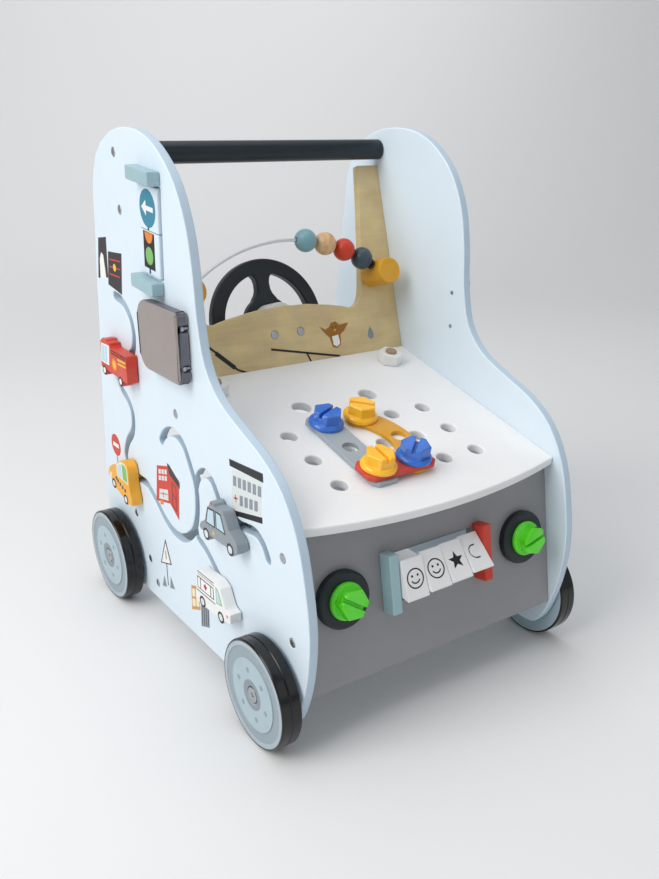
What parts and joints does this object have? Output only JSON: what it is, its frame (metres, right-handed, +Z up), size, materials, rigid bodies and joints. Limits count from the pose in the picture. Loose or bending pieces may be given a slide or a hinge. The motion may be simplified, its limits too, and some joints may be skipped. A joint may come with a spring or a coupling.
{
  "type": "baby walker",
  "caption": "Push-along baby walker shaped like a small car, with a push bar, rolling wheels and turning and sliding play pieces.",
  "frame": {"origin": "centre of the bounding box's base, on the floor", "axes": "+Z up, the front of the car faces -Y, the side with the maze is -X"},
  "size_m": [0.348, 0.4242, 0.489],
  "materials": {
    "pale_blue_paint": "satin paint on plywood",
    "white_paint": "satin paint on plywood",
    "grey_paint": "satin paint on plywood",
    "slate_paint": "satin paint",
    "plywood": "clear satin lacquer",
    "blue_grey_paint": "satin paint",
    "red_paint": "satin paint",
    "ochre_paint": "satin paint",
    "toy_blue": "gloss",
    "toy_yellow": "gloss",
    "toy_green": "gloss",
    "steel": "zinc plated",
    "tyre_rubber": "matt rubber",
    "stop_rubber": "matt rubber",
    "wheel_paint": "satin paint with rings",
    "mirror_paint": "satin paint",
    "bead_blue": "gloss lacquer",
    "bead_natural": "clear lacquer",
    "bead_red": "gloss lacquer",
    "bead_slate": "gloss lacquer",
    "truck_red": "satin paint with print",
    "taxi_yellow": "satin paint with print",
    "police_grey": "satin paint with print",
    "van_white": "satin paint with print"
  },
  "bodies": {
    "frame": {"left_side_panel": "pale_blue_paint", "right_side_panel": "pale_blue_paint", "hood_board": "white_paint", "front_board": "grey_paint", "windscreen_board": "plywood", "rear_board": "white_paint", "push_bar": "slate_paint", "wood_screws": "steel", "wheel_bolts": "steel", "wheel_washers": "steel", "wheel_nuts": "steel", "bead_wire": "steel", "bead_posts": "ochre_paint", "bead_stops": "stop_rubber", "sign_holders": "blue_grey_paint", "spin_rods": "steel", "tile_holder_left": "blue_grey_paint", "tile_holder_right": "red_paint", "lamp_discs": "slate_paint", "toy_nuts": "white_paint", "mirror_hinges": "steel", "steering_mount": "plywood", "steering_cap": "slate_paint", "strip_straight": "blue_grey_paint", "strip_curved": "ochre_paint", "strip_short": "red_paint", "nut_pegs": "plywood"},
    "wheel_fl": {"wheel_disc_fl": "wheel_paint", "tyre_fl": "tyre_rubber"},
    "wheel_fr": {"wheel_disc_fr": "wheel_paint", "tyre_fr": "tyre_rubber"},
    "wheel_rl": {"wheel_disc_rl": "wheel_paint", "tyre_rl": "tyre_rubber"},
    "wheel_rr": {"wheel_disc_rr": "wheel_paint", "tyre_rr": "tyre_rubber"},
    "steering": {"steering_wheel": "slate_paint"},
    "sign_arrow": {"sign_arrow": "pale_blue_paint"},
    "sign_light": {"sign_light": "pale_blue_paint"},
    "tile_1": {"tile_1": "white_paint"},
    "tile_2": {"tile_2": "white_paint"},
    "tile_3": {"tile_3": "white_paint"},
    "tile_4": {"tile_4": "white_paint"},
    "mirror_left": {"mirror_left": "mirror_paint"},
    "mirror_right": {"mirror_right": "mirror_paint"},
    "bolt_blue_rear": {"bolt_blue_rear": "toy_blue"},
    "bolt_yellow_rear": {"bolt_yellow_rear": "toy_yellow"},
    "bolt_yellow_front": {"bolt_yellow_front": "toy_yellow"},
    "bolt_blue_front": {"bolt_blue_front": "toy_blue"},
    "bolt_green_left": {"bolt_green_left": "toy_green"},
    "bolt_green_right": {"bolt_green_right": "toy_green"},
    "hex_nut_left": {"hex_nut_left": "white_paint"},
    "hex_nut_right": {"hex_nut_right": "white_paint"},
    "fire_truck": {"fire_truck": "truck_red"},
    "taxi": {"taxi": "taxi_yellow"},
    "police_car": {"police_car": "police_grey"},
    "ambulance": {"ambulance": "van_white"},
    "bead_4": {"bead_4": "bead_slate"},
    "bead_3": {"bead_3": "bead_red"},
    "bead_2": {"bead_2": "bead_natural"},
    "bead_1": {"bead_1": "bead_blue"}
  },
  "joints": [
    {"name": "wheel_fl_spin", "type": "hinge", "parent": "frame", "child": "wheel_fl", "pos_m": [-0.164, -0.1528, 0.05], "axis": [1, 0, 0], "continuous": true},
    {"name": "wheel_fr_spin", "type": "hinge", "parent": "frame", "child": "wheel_fr", "pos_m": [0.164, -0.1528, 0.05], "axis": [1, 0, 0], "continuous": true},
    {"name": "wheel_rl_spin", "type": "hinge", "parent": "frame", "child": "wheel_rl", "pos_m": [-0.164, 0.1626, 0.05], "axis": [1, 0, 0], "continuous": true},
    {"name": "wheel_rr_spin", "type": "hinge", "parent": "frame", "child": "wheel_rr", "pos_m": [0.164, 0.1626, 0.05], "axis": [1, 0, 0], "continuous": true},
    {"name": "steering_spin", "type": "hinge", "parent": "frame", "child": "steering", "pos_m": [0, 0.10168, 0.29868], "axis": [0, -0.9622, 0.2723], "continuous": true},
    {"name": "sign_arrow_spin", "type": "hinge", "parent": "frame", "child": "sign_arrow", "pos_m": [-0.1467, 0.03142, 0.427], "axis": [0, -0.0785, 0.9969], "continuous": true},
    {"name": "sign_light_spin", "type": "hinge", "parent": "frame", "child": "sign_light", "pos_m": [-0.1467, 0.03441, 0.389], "axis": [0, -0.0785, 0.9969], "continuous": true},
    {"name": "tile_1_spin", "type": "hinge", "parent": "frame", "child": "tile_1", "pos_m": [-0.0387, -0.19082, 0.13786], "axis": [1, 0, 0], "continuous": true},
    {"name": "tile_2_spin", "type": "hinge", "parent": "frame", "child": "tile_2", "pos_m": [-0.0149, -0.19082, 0.13786], "axis": [1, 0, 0], "continuous": true},
    {"name": "tile_3_spin", "type": "hinge", "parent": "frame", "child": "tile_3", "pos_m": [0.0089, -0.19082, 0.13786], "axis": [1, 0, 0], "continuous": true},
    {"name": "tile_4_spin", "type": "hinge", "parent": "frame", "child": "tile_4", "pos_m": [0.0327, -0.19082, 0.13786], "axis": [1, 0, 0], "continuous": true},
    {"name": "mirror_left_swing", "type": "hinge", "parent": "frame", "child": "mirror_left", "pos_m": [-0.157, -0.0257, 0.3193], "axis": [0, 0, 1], "range_deg": [0, 100]},
    {"name": "mirror_right_swing", "type": "hinge", "parent": "frame", "child": "mirror_right", "pos_m": [0.157, -0.0257, 0.3193], "axis": [0, 0, -1], "range_deg": [0, 100]},
    {"name": "bolt_blue_rear_turn", "type": "hinge", "parent": "frame", "child": "bolt_blue_rear", "pos_m": [-0.0387, -0.0642, 0.23713], "axis": [0, -0.2402, 0.9707], "continuous": true},
    {"name": "bolt_yellow_rear_turn", "type": "hinge", "parent": "frame", "child": "bolt_yellow_rear", "pos_m": [0, -0.0642, 0.23713], "axis": [0, -0.2402, 0.9707], "continuous": true},
    {"name": "bolt_yellow_front_turn", "type": "hinge", "parent": "frame", "child": "bolt_yellow_front", "pos_m": [-0.0387, -0.1436, 0.21748], "axis": [0, -0.2402, 0.9707], "continuous": true},
    {"name": "bolt_blue_front_turn", "type": "hinge", "parent": "frame", "child": "bolt_blue_front", "pos_m": [0, -0.1436, 0.21748], "axis": [0, -0.2402, 0.9707], "continuous": true},
    {"name": "bolt_green_left_turn", "type": "hinge", "parent": "frame", "child": "bolt_green_left", "pos_m": [-0.1035, -0.18263, 0.13535], "axis": [0, -0.9859, 0.1676], "continuous": true},
    {"name": "bolt_green_right_turn", "type": "hinge", "parent": "frame", "child": "bolt_green_right", "pos_m": [0.1035, -0.18263, 0.13535], "axis": [0, -0.9859, 0.1676], "continuous": true},
    {"name": "hex_nut_left_turn", "type": "hinge", "parent": "frame", "child": "hex_nut_left", "pos_m": [-0.104, 0.02521, 0.25925], "axis": [0, -0.2402, 0.9707], "continuous": true},
    {"name": "hex_nut_right_turn", "type": "hinge", "parent": "frame", "child": "hex_nut_right", "pos_m": [0.104, 0.02521, 0.25925], "axis": [0, -0.2402, 0.9707], "continuous": true},
    {"name": "fire_truck_slide", "type": "slide", "parent": "frame", "child": "fire_truck", "axis": [0, 0.7913, -0.6114], "range_m": [-0.0125, 0.0125]},
    {"name": "taxi_slide", "type": "slide", "parent": "frame", "child": "taxi", "axis": [0, -1, 0], "range_m": [-0.004, 0.02]},
    {"name": "police_car_slide", "type": "slide", "parent": "frame", "child": "police_car", "axis": [0, -1, 0], "range_m": [-0.008, 0.01]},
    {"name": "ambulance_slide", "type": "slide", "parent": "frame", "child": "ambulance", "axis": [0, -0.8, -0.6], "range_m": [-0.018, 0.006]},
    {"name": "bead_4_slide", "type": "hinge", "parent": "frame", "child": "bead_4", "pos_m": [0, 0.01577, 0.21543], "axis": [0, -0.9622, 0.2723], "range_deg": [0, 9.4]},
    {"name": "bead_3_slide", "type": "hinge", "parent": "bead_4", "child": "bead_3", "pos_m": [0, 0.01577, 0.21543], "axis": [0, -0.9622, 0.2723], "range_deg": [0, 9.4]},
    {"name": "bead_2_slide", "type": "hinge", "parent": "bead_3", "child": "bead_2", "pos_m": [0, 0.01577, 0.21543], "axis": [0, -0.9622, 0.2723], "range_deg": [0, 9.4]},
    {"name": "bead_1_slide", "type": "hinge", "parent": "bead_2", "child": "bead_1", "pos_m": [0, 0.01577, 0.21543], "axis": [0, -0.9622, 0.2723], "range_deg": [0, 9.4]}
  ]
}
